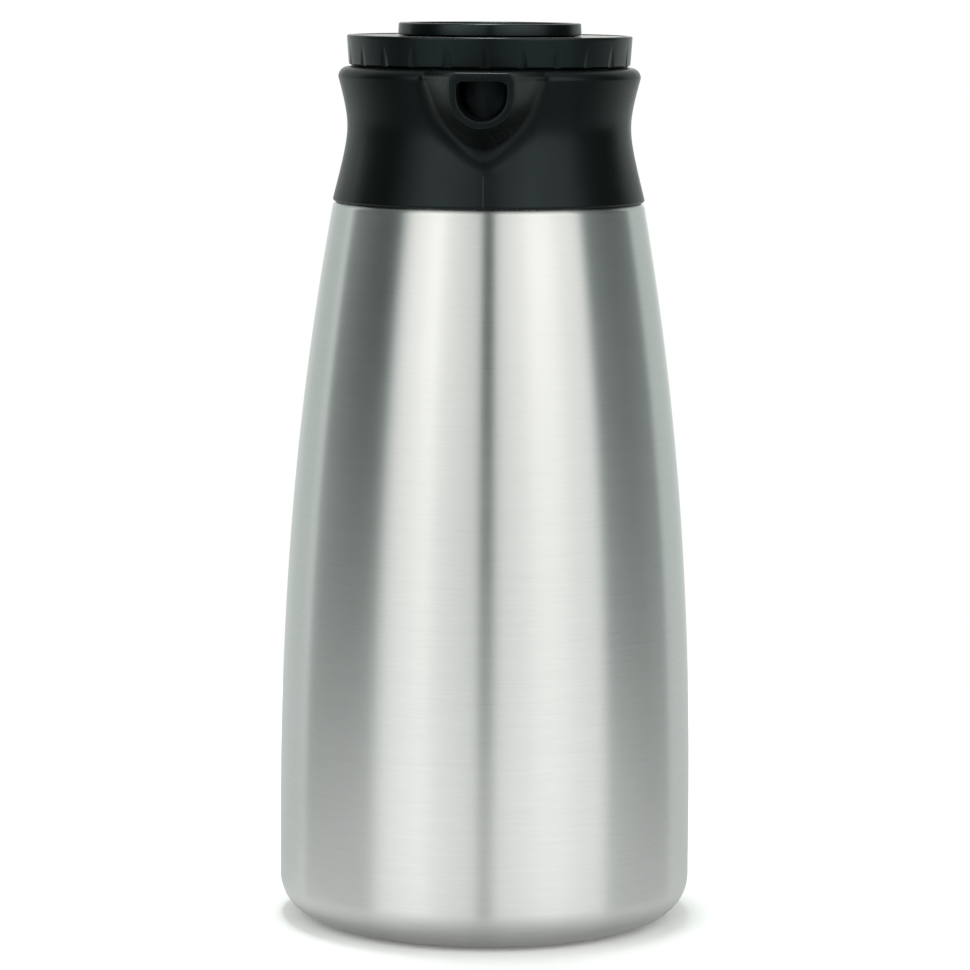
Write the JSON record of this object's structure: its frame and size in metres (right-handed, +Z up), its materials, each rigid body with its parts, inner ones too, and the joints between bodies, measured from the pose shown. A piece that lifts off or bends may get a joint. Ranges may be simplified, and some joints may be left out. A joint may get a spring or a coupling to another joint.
{
  "type": "thermal carafe",
  "caption": "Double-walled steel carafe with a moulded collar and spout, a twist lid, a flip cap over a filling funnel, a float valve and a rear handle.",
  "frame": {"origin": "middle of the base pad's underside, on the vessel's axis and on the surface that the carafe stands on", "axes": "+Z up along the vessel's axis; the spout points to -Y, the handle and the cap's hinge are on the +Y side, +X is to the right seen from the spout side's camera"},
  "size_m": [0.1344, 0.1819, 0.2923],
  "materials": {
    "shell_steel": "satin",
    "liner_steel": "satin",
    "fastener_steel": "satin",
    "collar_plastic": "satin",
    "lid_plastic": "satin",
    "handle_plastic": "satin",
    "valve_plastic": "satin",
    "silicone": "satin",
    "rubber_pad": "matte",
    "foam": "matte"
  },
  "bodies": {
    "carafe": {"outer_shell": "shell_steel", "inner_liner": "liner_steel", "base_cup": "shell_steel", "getter": "fastener_steel", "vacuum_seal": "fastener_steel", "base_pad": "rubber_pad", "collar": "collar_plastic", "throat_seal": "silicone", "retaining_ring": "fastener_steel", "shoulder_gasket": "rubber_pad", "handle_grip": "handle_plastic", "handle_cover": "handle_plastic", "handle_top_screws": "fastener_steel", "handle_cover_screws": "fastener_steel", "lower_bracket": "fastener_steel", "lower_screw": "fastener_steel"},
    "lid_seal": {"lid_gasket": "silicone"},
    "lid": {"lid_cover": "lid_plastic", "stopper": "lid_plastic", "stopper_base": "lid_plastic", "stopper_foam": "foam", "funnel": "lid_plastic", "valve_tube": "lid_plastic", "valve_cage": "lid_plastic", "lid_screws": "fastener_steel", "hinge_pin": "fastener_steel"},
    "flip_cap": {"flip_cap": "lid_plastic", "cap_seal": "silicone"},
    "float": {"float_valve": "valve_plastic"}
  },
  "joints": [
    {"name": "lid_rise", "type": "slide", "parent": "carafe", "child": "lid_seal", "axis": [0, 0, 1], "range_m": [0, 0.0065]},
    {"name": "lid_twist", "type": "hinge", "parent": "lid_seal", "child": "lid", "pos_m": [0, 0, 0.2683], "axis": [0, 0, 1], "range_deg": [0, 120]},
    {"name": "cap_flip", "type": "hinge", "parent": "lid", "child": "flip_cap", "pos_m": [0, 0.033, 0.2899], "axis": [-1, 0, 0], "range_deg": [0, 105]},
    {"name": "float_lift", "type": "slide", "parent": "lid", "child": "float", "axis": [0, 0, 1], "range_m": [0, 0.0036]}
  ],
  "couplings": [
    {"joint": "lid_rise", "follows": "lid_twist", "m_per_rad": 0.0031035}
  ]
}
